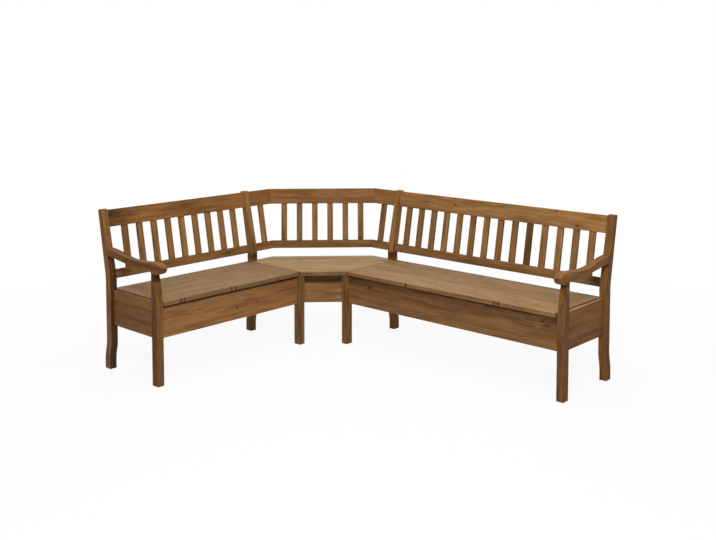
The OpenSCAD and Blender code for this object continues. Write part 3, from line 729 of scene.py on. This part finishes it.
def row_of_slats(name, places, first_plank):
    slats = []
    for i, (place, cut) in enumerate(zip(places, SLAT_CUTS[name])):
        one = stand(copy_of(slat, name), place)
        slats.append(cut_from(one, first_plank + i, *cut))
    take(*slats)
    bpy.ops.object.join()
    dress(slats[0], SLAT_PINE, "rest_wood", name)
    slats[0].name = name + "_wood"


def spread_out(name, first_plank, frame_at, middle, pitch):
    count = len(SLAT_CUTS[name])
    shifts = [middle + (i - (count - 1) / 2) * pitch for i in range(count)]
    row_of_slats(name, [frame_at @ SLOPE @ Matrix.Translation((at, 0, 0)) for at in shifts], first_plank)


for wing, first_plank in (("short", 60), ("long", 100)):
    middle = sum(span(wing + "_top_rail")) / 2
    spread_out(wing + "_back_slats", first_plank, WING_FRAME[wing], middle, SLAT_PITCH)
spread_out("diagonal_slats", 80, WING_FRAME["long"] @ DIAGONAL, 0, CORNER_PITCH)
in_return = Vector(((CORNER_CUT + span("long_inner_back_post")[0]) / 2 - RETURN_SLAT_SHIFT, 0, 0))
places = [WING_FRAME[wing] @ SLOPE @ Matrix.Translation(in_return) for wing in WINGS]
row_of_slats("return_slats", places, 90)
bpy.data.objects.remove(slat)

# --------
# The two armrests. Each is sawn from thick pine to a swept shape: it dips from the back post, swells
# over the front post and ends in a rounded nose. Its edges are well rounded.

ARM_BACK_Z = 0.689
ARM_DIP_Z = 0.656
ARM_CREST_Z = 0.668
ARM_THICKNESS = 0.039
ARM_DIP_BACK = 0.199
ARM_CREST_BACK = 0.014
ARM_NOSE = 0.041
ARM_CHIN = 0.032
NOSE_LIFT = 0.010
HEEL_DROP = 0.006
BELLY_RUN = 0.030
NOSE_CAP = 0.0014
ARM_ROUNDING = 0.0045
ARM_PINE = pine("stained armrest pine", FRAME_TONES, knots=0.25, worn=0.4)


def front_of_post(z):
    return depth_of_post(z) - back_of_post(z)


def bezier(a, b, c, d):
    """Points on a curve. Each handle is a distance in front of the back plane and a height."""
    t = np.linspace(0, 1, 41)[:, None]
    return (1 - t) ** 3 * a + 3 * (1 - t) ** 2 * t * b + 3 * (1 - t) * t ** 2 * c + t ** 3 * d


low_z, under_z = ARM_BACK_Z - ARM_THICKNESS, ARM_DIP_Z - ARM_THICKNESS
top_back = np.array((front_of_post(ARM_BACK_Z), ARM_BACK_Z))
low_back = np.array((front_of_post(low_z), low_z))
dip = np.array((BENCH_DEPTH - ARM_DIP_BACK, ARM_DIP_Z))
crest = np.array((BENCH_DEPTH - ARM_CREST_BACK, ARM_CREST_Z))
nose = np.array((BENCH_DEPTH + ARM_NOSE, (ARM_CREST_Z + ARM_SEAT_Z + NOSE_LIFT) / 2))
chin = np.array((nose[0] - ARM_CHIN, ARM_SEAT_Z + NOSE_LIFT))
throat = np.array((BENCH_DEPTH - SWEEP, ARM_SEAT_Z))
heel = np.array((POST_REAR, under_z - HEEL_DROP))
belly = np.array((POST_REAR - BELLY_RUN, under_z))
run = np.array((1.0, 0.0))
rise = np.array((0.0, 1.0))
hollow, swell = (dip - top_back) * run, (crest - dip) * run
nose_run, nose_half = (nose - crest) * run, (crest - nose) * rise
throat_run, under = (chin - throat) * run, (belly - low_back) * run
upper = np.concatenate([
    bezier(top_back, top_back + hollow / 3, dip - hollow * 0.37, dip),
    bezier(dip, dip + swell / 3, crest - swell / 3, crest),
    bezier(crest, crest + nose_run * 0.45, nose + nose_half * 0.4, nose)])
lower = np.concatenate([
    bezier(low_back, low_back + under * 0.28 - nose_half * 0.5, belly - under * 0.38, belly),
    bezier(belly, belly + run * BELLY_RUN * 0.7, heel + rise * HEEL_DROP, heel),
    [heel + (0.0004, -heel[1] + ARM_SEAT_Z)],
    bezier(throat, throat + throat_run * 0.4, chin - throat_run * 0.4, chin),
    bezier(chin, chin + run * ARM_CHIN * 0.25, nose - nose_half * 0.4, nose)])


def arm_section(front):
    top, bottom = np.interp(front, *upper.T), np.interp(front, *lower.T)
    return (0, -front, (top + bottom) / 2), (POST_WIDTH, 1, top - bottom)


fronts = np.concatenate([
    np.linspace(top_back[0] - 0.003, belly[0], 18), np.linspace(belly[0], heel[0], 5)[1:],
    [heel[0] + 0.0005, throat[0]], np.linspace(throat[0], chin[0], 6)[1:],
    nose[0] - (nose[0] - chin[0]) * (1 - np.sin(np.radians((15, 30, 43, 55, 66)))), [nose[0] - NOSE_CAP]])
arm = grow("armrest", [arm_section(front) for front in fronts], turn=(math.pi / 2, 0, 0))
slant = Vector((0, low_back[0] - top_back[0], top_back[1] - low_back[1])).normalized()
saw(arm, ((0, -top_back[0], ARM_BACK_Z), (0, slant.z, -slant.y)))
ease(arm, ARM_ROUNDING, segments=4, spare=lambda p: p[:, 1] > -low_back[0] - NEAR)
places = points_of(arm)
middles = (np.interp(-places[:, 1], *upper.T) + np.interp(-places[:, 1], *lower.T)) / 2
arm_places = np.stack([-places[:, 1] - nose[0] / 2, places[:, 2] - middles, places[:, 0]], 1)
lay_board(arm, arm_places, (nose[0] / 2, ARM_THICKNESS / 2, POST_WIDTH / 2))
# Each arm has its plank and tones, and painted shade under its nose as far up as is said here. Both are darker
# towards their back ends
CHIN_DROP = 0.002
BACK_DARKENING = ((0, 0.06 - top_back[0], 0), ACROSS, 0.10)
for wing, plank, chin_shade in (("short", (35, -0.8, 1.2), 0.002), ("long", (36, -0.85, 1.3), 0.014)):
    set_in_wing(arm, wing + "_armrest", plank, ARM_PINE, "rest_wood",
                ((0, 0, chin[1] - CHIN_DROP), UP, chin_shade), BACK_DARKENING)
bpy.data.objects.remove(arm)

# --------
# The two chests under the seats: a front apron, a rear board and two end panels each, dowelled to the
# posts. They are pine panels of two boards. The outer end panels reach up beside the lids.

CHEST_ROUNDING = 0.002
CHEST_TONES = ((0.302, 0.153, 0.055), (0.111, 0.049, 0.015))
CHEST_STRIP = 0.092
CHEST_KNOTS = {"long_front_apron": ((-0.557, 0.039, 0.008), (0.295, 0.074, 0.006), (0.638, 0.052, 0.006),
                                    (0.664, 0.035, 0.009)),
               "short_front_apron": ((0.020, -0.016, 0.006), (-0.246, 0.020, 0.004)),
               "short_outer_end_panel": ((-0.075, 0.085, 0.004),)}
# How far below its top edge a board is darkened by painted shadow of the lid or seat above it: where it is
# darkest, and over what height that fades
CHEST_SHADE = {"long_front_apron": ((0.001, 0.011), (-0.076, 0.200)), "short_front_apron": ((0.012, 0.009),),
               "corner_front_apron": ((0.0, 0.018),)}


def chest_pine(name, placed=()):
    return pine(name, CHEST_TONES, strip=CHEST_STRIP, ring=0.0075, knots=0.1, worn=0.7,
                streaks=1.6, placed=placed)


def shade_below_top(board, node):
    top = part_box(node)[1]
    return paint_shade_and_stain(board, *[(top - UP * start, -UP, reach) for start, reach in CHEST_SHADE[node]])


def board_of(node, grain, across, rounding, plank):
    """A board that fills the box of its node and butts against other pieces at both ends."""
    board = ease(block(node + "_wood", *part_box(node)), rounding, spare=butted(grain))
    return cut_from(straight_grain(board, grain, across), *plank)


CHEST_PINE = chest_pine("stained chest pine")
LENGTHWISE = {"short": -ACROSS, "long": ALONG}
FRONTWARD = {"short": ALONG, "long": ACROSS}
# The fourth value of an outer end panel sets its top edge: darker on the short one, painted shade beside its
# lid; paler on the long one, painted light on its top face together with wear
CHEST_PLANKS = {"short_front_apron": (51.2, 0.8, 0.1), "short_rear_board": (53, 0, 0.1),
                "short_outer_end_panel": (55, 0.1, 0.4, -2.2), "short_inner_end_panel": (57, 0, 0.1),
                "long_front_apron": (52.4, -0.4, 0.0), "long_rear_board": (54, 0, 0.1),
                "long_outer_end_panel": (56, -0.3, 0.6, 2.6), "long_inner_end_panel": (58, 0, 0.1)}
for node, plank in CHEST_PLANKS.items():
    wing = node.split("_")[0]
    grain = FRONTWARD[wing] if "_end_" in node else LENGTHWISE[wing]
    panel = board_of(node, grain, UP, CHEST_ROUNDING, plank)
    if node in CHEST_SHADE:
        shade_below_top(panel, node)
    finish = CHEST_PINE
    if node in CHEST_KNOTS:
        finish = chest_pine("stained " + node.replace("_", " ") + " pine", CHEST_KNOTS[node])
    dress(panel, finish, "chest_wood", node)

# --------
# The floors of the chests: a thin plywood sheet in each, lying on cleats of plain pine that are glued
# along the foot of the front apron and of the rear board.

RAW_TONES = ((0.56, 0.40, 0.235), (0.36, 0.215, 0.105))
CLEAT_ROUNDING = 0.0015
PLY_ROUNDING = 0.0006
SAME_POINT = 0.00001
RAW_PINE = pine("plain planed pine", RAW_TONES, knots=0.4, worn=0.1, roughness=0.6, ends=0.2)
BIRCH_PLY = pine("birch plywood", ((0.60, 0.46, 0.30), (0.47, 0.33, 0.195)), ring=0.016, knots=0.0, worn=0.05,
                 roughness=0.58, contrast=0.4, ends=0.5)


def solids_of(node):
    """The box of each separate piece in a node, from the first to the last along the wing."""
    edit(copy_of(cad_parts[node], "parted"), action="SELECT")
    bpy.ops.mesh.remove_doubles(threshold=SAME_POINT)
    bpy.ops.mesh.separate(type="LOOSE")
    close()
    parts = list(bpy.context.selected_objects)
    boxes = [(Vector(points_of(part).min(0)), Vector(points_of(part).max(0))) for part in parts]
    for part in parts:
        bpy.data.objects.remove(part)
    return sorted(boxes, key=lambda box: (round(box[0].x, 4), -round(box[0].y, 4)))


def set_of_bars(node, grains, rounding, plank, step=0.7, body="bench_frame"):
    """Makes one bar of plain pine in each box of a node, with its grain along the bar."""
    bars = []
    for i, (low, high) in enumerate(solids_of(node)):
        grain = grains[i % len(grains)]
        bar = ease(block(node + "_wood", low, high), rounding)
        bars.append(cut_from(straight_grain(bar, grain, UP.cross(grain)), plank + i * step))
    take(*bars)
    bpy.ops.object.join()
    dress(bars[0], RAW_PINE, "raw_wood", node, body=body)


for wing, plank in (("short", 61.5), ("long", 64.5)):
    set_of_bars(wing + "_floor_cleats", [LENGTHWISE[wing]], CLEAT_ROUNDING, plank)
    sheet = ease(block(wing + "_floor_sheet", *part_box(wing + "_floor_panel")), PLY_ROUNDING, segments=1)
    straight_grain(sheet, LENGTHWISE[wing], FRONTWARD[wing])
    cut_from(sheet, plank + 2.2)
    dress(sheet, BIRCH_PLY, "plywood", wing + "_floor_panel")

# --------
# The boards that carry and close the corner: an apron between the inner front posts, a front and a
# rear bearer behind it, all set across the corner, and two screwed cleats for the ends of the seat.

BOARD_THICKNESS = 0.020
UNSAWN_HALF = 1.0
APRON_PLANKS = {"corner_front_apron": (71, 0.9, -0.5), "corner_front_bearer": (72, -0.2, -0.5),
                "corner_rear_bearer": (73, 0, 0)}
ACROSS_CORNER = Vector((1, 1, 0)).normalized()
OUT_OF_CORNER = Vector((1, -1, 0)).normalized()
APRON_PINE = pine("stained corner pine", CHEST_TONES, strip=CHEST_STRIP, ring=0.0075, knots=0.0,
                  stains=1.7, streaks=1.7)

for node, plank in APRON_PLANKS.items():
    low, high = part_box(node)
    limit = high.x - ROOM_CORNER.x
    front = Vector((limit, high.y - ROOM_CORNER.y, 0)).dot(OUT_OF_CORNER) + BOARD_THICKNESS
    board = block(node + "_wood", (-UNSAWN_HALF, -front, low.z),
                  (UNSAWN_HALF, -front + BOARD_THICKNESS, high.z))
    stand(board, EIGHTH_TURN)
    cuts = ((limit * ALONG, ALONG), (limit * ACROSS, ACROSS))
    ease(saw(board, *cuts), CHEST_ROUNDING, spare=on_cuts(*cuts))
    straight_grain(board, ACROSS_CORNER, UP)
    stand(board, WING_FRAME["long"])
    if node in CHEST_SHADE:
        shade_below_top(board, node)
    cut_from(board, *plank)
    dress(board, APRON_PINE, "chest_wood", node)
set_of_bars("corner_seat_cleats", [LENGTHWISE["long"], LENGTHWISE["short"]], CLEAT_ROUNDING, 75, step=1)

# --------
# The hinge strips. Each is a fixed rail of seat pine behind its lid, between the back posts; the fixed
# hinge leaves are let into its front edge.

SEAT_TONES = ((0.350, 0.204, 0.085), (0.138, 0.068, 0.0234))
STRIP_ROUNDING = 0.0015
STRIP_PINE = pine("waxed strip pine", SEAT_TONES, knots=0.25, worn=0.2, bleach_and_sheen=0.5)

for wing, plank in (("short", 81), ("long", 82)):
    node = wing + "_hinge_strip"
    strip = board_of(node, LENGTHWISE[wing], FRONTWARD[wing], STRIP_ROUNDING, (plank, -0.8))
    dress(strip, STRIP_PINE, "seat_wood", node)

# --------
# The corner seat: a fixed pine panel whose boards run parallel to its slanting front edge. It covers
# the inner front posts and is notched round the inner back posts.

SEAT_NOSING = 0.003
SEAT_ROUNDING = 0.0022
SEAT_UNDER_ROUNDING = 0.004
SEAM_SHADE = 0.0045
CHIN_SHADE = 0.004
SEAT_STRIP = 0.096
NOTCH_GAP = 0.0001
IN_LINE = 0.01


def seat_pine(name, **more):
    return pine(name, SEAT_TONES, strip=SEAT_STRIP, ring=0.0075, contrast=0.26, stains=1.4,
                streaks=1.6, variety=0.06, mixed=0.15, bleach_and_sheen=1.0, **more)


CORNER_PINE = seat_pine("waxed corner pine", knots=0.2, butts=0.0)

low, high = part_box("corner_seat")
size = (high - ROOM_CORNER).x
post_start = span("long_inner_back_post")[0] - NOTCH_GAP
post_front = POST_DEPTH + NOTCH_GAP
seat = start_from("corner_seat_wood", ((SEAT_SETBACK + size) / 2, -(SEAT_SETBACK + size) / 2, low.z),
                  (size - SEAT_SETBACK, size - SEAT_SETBACK, 1))
front_line = (size + BENCH_DEPTH) / 2
rear_line = (CORNER_CUT + SEAT_SETBACK * math.tan(MITRE) + SEAT_SETBACK) / 2
# The front and rear edges are sawn off. The other cuts only mark the notches
for at, normal, off in (((front_line, -front_line, 0), OUT_OF_CORNER, True),
                        ((rear_line, -rear_line, 0), -OUT_OF_CORNER, True),
                        (post_start * ALONG, ALONG, False), (post_start * ACROSS, -ACROSS, False),
                        (post_front * ALONG, ALONG, False), (post_front * ACROSS, -ACROSS, False)):
    bpy.ops.mesh.select_all(action="SELECT")
    bpy.ops.mesh.bisect(plane_co=at, plane_no=normal, clear_outer=off)
close()
for face in seat.data.polygons:
    x, y = face.center[:2]
    face.select = (x > post_start and y > -post_front) or (x < post_front and y < -post_start)
bpy.ops.object.mode_set(mode="EDIT")
bpy.ops.mesh.delete(type="FACE")
bpy.ops.mesh.select_all(action="SELECT")
bpy.ops.mesh.dissolve_limited(angle_limit=IN_LINE)
bpy.ops.mesh.select_all(action="SELECT")
bpy.ops.mesh.extrude_region_move(TRANSFORM_OT_translate={"value": (0, 0, high.z - low.z)})
close()
stand(seat, WING_FRAME["long"])


def round_seat(seat, out):
    """Rounds over the upper and the lower edge of the front of a seat, and eases the other edges."""
    for width, way in ((SEAT_NOSING, np.array(out + UP)), (SEAT_UNDER_ROUNDING, np.array(out - UP))):
        ease(seat, width, segments=5, only=lambda p: p @ way > (p @ way).max() - NEAR)
    return ease(seat, SEAT_ROUNDING)


round_seat(seat, OUT_OF_CORNER)
straight_grain(seat, ACROSS_CORNER, OUT_OF_CORNER)
chin_edge = ROOM_CORNER + OUT_OF_CORNER * front_line * math.sqrt(2) + UP * low.z
# Painted shade in the gaps at both ends of the seat and along its lower front edge
paint_shade_and_stain(seat, (high, -ALONG, SEAM_SHADE), (low, -ACROSS, SEAM_SHADE),
         (chin_edge, UP - OUT_OF_CORNER, CHIN_SHADE))
cut_from(seat, 84, 0.8, -0.9)
dress(seat, CORNER_PINE, "seat_wood", "corner_seat")

# --------
# The two lids. Each is a pine panel glued up from boards that run along the bench, rounded over at
# the front. It hangs on its hinges at the back and opens up against the backrest.

LID_PLANKS = {"short": (91, -0.6, 0.3, 0.0), "long": (92, -0.8, 0.7, 0.8)}
LID_KNOTS = {"long": ((-0.558, 0.024, 0.006), (-0.607, 0.050, 0.004), (-0.123, -0.070, 0.006),
                      (0.514, 0.010, 0.004), (0.553, 0.117, 0.005), (-0.264, 0.216, 0.004),
                      (0.350, 0.216, 0.003), (0.375, 0.216, 0.003)),
             "short": ((-0.388, 0.216, 0.003), (-0.362, 0.216, 0.003), (-0.033, 0.216, 0.003),
                       (-0.003, 0.216, 0.003), (-0.070, -0.150, 0.004))}
# How far the painted shade in the gap reaches in from the two ends of a lid, the southern or western one first
LID_SEAMS = {"short": (0.001, 0.0045), "long": (0.0045, 0.018)}

for wing in WINGS:
    low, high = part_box(wing + "_lid")
    out = FRONTWARD[wing]
    front = max(low.dot(out), high.dot(out))
    lid = round_seat(block(wing + "_lid_wood", low, high), out)
    straight_grain(lid, LENGTHWISE[wing], out)
    seams = [(corner, way * LENGTHWISE[wing], reach)
             for corner, way, reach in zip((low, high), (1, -1), LID_SEAMS[wing])]
    # Painted shade in the end gaps and along the lower front edge
    paint_shade_and_stain(lid, *seams, (out * front + UP * low.z, UP - out, CHIN_SHADE))
    cut_from(lid, *LID_PLANKS[wing])
    finish = seat_pine("waxed " + wing + " lid pine", knots=0.2, butts=0.6, placed=LID_KNOTS[wing])
    dress(lid, finish, "seat_wood", wing + "_lid", body=wing + "_lid_leaf")

# --------
# The battens that keep the lids flat: plain pine bars screwed across the underside of each lid.

BATTEN_ROUNDING = 0.003
for wing, plank in (("short", 95), ("long", 98)):
    set_of_bars(wing + "_lid_battens", [FRONTWARD[wing]], BATTEN_ROUNDING, plank, body=wing + "_lid_leaf")

# --------
# The hinges, screws and dowels keep their own shapes: rolled brass leaves that have gone brown, steel
# screws in them, and beech dowels hidden in the joints.


def object_place(tree):
    return Wire(tree.nodes.new("ShaderNodeTexCoord").outputs["Object"])


def metal(name, bright, dull, roughness):
    """Metal that has tarnished in patches, with fine scratches."""
    material, tree, shader = new_material(name)
    patches = smooth_step(noise(object_place(tree), (90, 90, 90), 4.0), 0.35, 0.65)
    scratches = noise(object_place(tree), (400, 2600, 2600))
    link(shader["Base Color"], mix_colour(patches, (*bright, 1), (*dull, 1)))
    link(shader["Metallic"], 1.0)
    link(shader["Roughness"], patches * 0.2 + (scratches * 0.15 + roughness))
    add_relief(shader, scratches, strength=0.15, distance=0.0002)
    return material


def beech(name, pale, deep):
    """Plain beech with fine flecks."""
    material, tree, shader = new_material(name)
    flecks = noise(object_place(tree), (300, 300, 300), 3.0)
    link(shader["Base Color"], mix_colour(flecks, (*pale, 1), (*deep, 1)))
    link(shader["Roughness"], flecks * 0.2 + 0.5)
    return material


BRASS = metal("browned brass", (0.46, 0.33, 0.16), (0.20, 0.135, 0.07), 0.34)
SCREW_STEEL = metal("yellowed steel", (0.50, 0.42, 0.28), (0.30, 0.25, 0.17), 0.3)
BEECH = beech("beech dowel", (0.62, 0.42, 0.25), (0.42, 0.25, 0.13))
FITTINGS = {"leaves": BRASS, "pins": BRASS, "screws": SCREW_STEEL, "dowels": BEECH}
for node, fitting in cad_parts.items():
    kind = node.split("_")[-1]
    if kind in FITTINGS:
        coat(fitting, FITTINGS[kind])

# --------
# The studio: a pale floor that turns white towards the backdrop, soft lamps overhead, in front and
# behind, and a camera at the height of a standing person, in front of the open corner.

FLOOR_SIZE = 60.0
FLOOR_GREY = 0.60
FLOOR_WHITE = 0.90
FLOOR_GLOW = 0.92
GLOW_START, GLOW_END = 1.2, 3.6
WHITE = (1, 1, 1, 1)
SKY = 0.17


def seen(tree):
    """1 for the rays that show a surface as it is, and 0 for the rays that light other surfaces."""
    path = named(Wire(socket) for socket in tree.nodes.new("ShaderNodeLightPath").outputs)
    return calc("MAXIMUM", path["Is Camera Ray"],
                calc("MAXIMUM", path["Is Glossy Ray"], path["Is Transmission Ray"]))


def blend(output, share, usual, other):
    """Lets a second shader show through as far as share says."""
    mixed = add_node("MixShader", {"Fac": share, 1: Wire(usual.outputs[0]), 2: Wire(other.outputs[0])})
    link(output.inputs["Surface"], mixed[0])


floor = start_from("studio_floor", (0, 0, 0), (FLOOR_SIZE, FLOOR_SIZE, 1))
close()
paint, tree, shader = new_material("pale floor")
grey = seen(tree) * (FLOOR_WHITE - FLOOR_GREY) + FLOOR_GREY
link(shader["Base Color"], join(grey, grey, grey))
link(shader["Roughness"], 0.9)
link(shader["Specular IOR Level"], 0.0)
far = smooth_step(vector_calc("LENGTH", object_place(tree)), GLOW_START, GLOW_END)
glow = tree.nodes.new("ShaderNodeEmission")
link(glow.inputs["Color"], WHITE)
blend(tree.nodes["Material Output"], seen(tree) * (far * (1 - FLOOR_GLOW) + FLOOR_GLOW),
      tree.nodes["Principled BSDF"], glow)
coat(floor, paint)

scene = bpy.context.scene
world = bpy.data.worlds.new("studio")
scene.world = world
world.use_nodes = True
tree = world.node_tree
sky, white = tree.nodes["Background"], tree.nodes.new("ShaderNodeBackground")
link(sky.inputs["Color"], WHITE)
link(sky.inputs["Strength"], SKY)
link(white.inputs["Color"], WHITE)
blend(tree.nodes["World Output"], seen(tree), sky, white)


def mount(data, place, rotation):
    obj = bpy.data.objects.new(data.name, data)
    obj.location, obj.rotation_euler = place, rotation
    scene.collection.objects.link(obj)
    return obj


def lamp(name, place, size, power):
    data = bpy.data.lights.new(name, "AREA")
    data.shape, data.size, data.energy = "DISK", size, power
    mount(data, place, (AIM - Vector(place)).to_track_quat("-Z", "Y").to_euler())


AIM = Vector((0, 0.1, 0.4))
lamp("overhead lamp", (0.2, -0.2, 4.2), 2.6, 66)
lamp("front lamp", (2.9, -3.1, 3.5), 1.6, 166)
lamp("rear lamp", (-2.6, 2.8, 3.9), 2.4, 60)

EYE = (3.52908, -3.80899, 1.709596)
TURN = math.radians(42.502)
TILT = math.radians(4.118)
SHIFT = -0.19
SENSOR = 36
LENS = 944.617 / 716 * SENSOR
view = bpy.data.cameras.new("camera")
view.lens = LENS
view.sensor_width = SENSOR
view.shift_y = SHIFT
scene.camera = mount(view, EYE, (math.pi / 2 - TILT, 0, TURN))
scene.view_settings.view_transform = "Standard"
